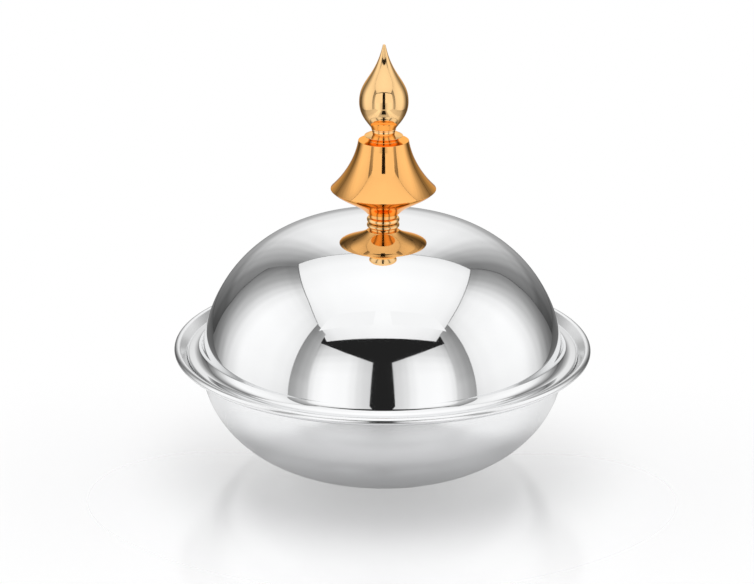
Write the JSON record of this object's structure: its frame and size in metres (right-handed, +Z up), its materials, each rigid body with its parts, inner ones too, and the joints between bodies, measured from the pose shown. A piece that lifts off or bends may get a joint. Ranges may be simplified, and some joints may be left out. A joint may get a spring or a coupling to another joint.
{
  "type": "lidded candy dish",
  "caption": "Round polished steel bowl with a rolled rim and a ledge that seats a domed lid, which lifts off by a turned brass finial knob.",
  "frame": {"origin": "centre of the bowl's flat underside", "axes": "+Z up along the axis that bowl, lid and knob share; +X and +Y level"},
  "size_m": [0.24, 0.24, 0.2458],
  "materials": {
    "polished_steel": "mirror polished",
    "polished_brass": "mirror polished",
    "plain_steel": "bright turned"
  },
  "bodies": {
    "bowl": {"bowl_shell": "polished_steel"},
    "lid": {"lid_shell": "polished_steel", "knob_seat_ring": "polished_brass", "knob_under_cup": "polished_brass", "knob_bell": "polished_brass", "knob_collar": "polished_brass", "knob_neck": "polished_brass", "knob_bulb": "polished_brass", "knob_stud": "plain_steel", "flat_washer": "plain_steel", "lock_washer": "plain_steel", "cap_nut": "plain_steel"}
  },
  "joints": [
    {"name": "lid_lift", "type": "slide", "parent": "bowl", "child": "lid", "axis": [0, 0, 1], "range_m": [0, 0.12]}
  ]
}
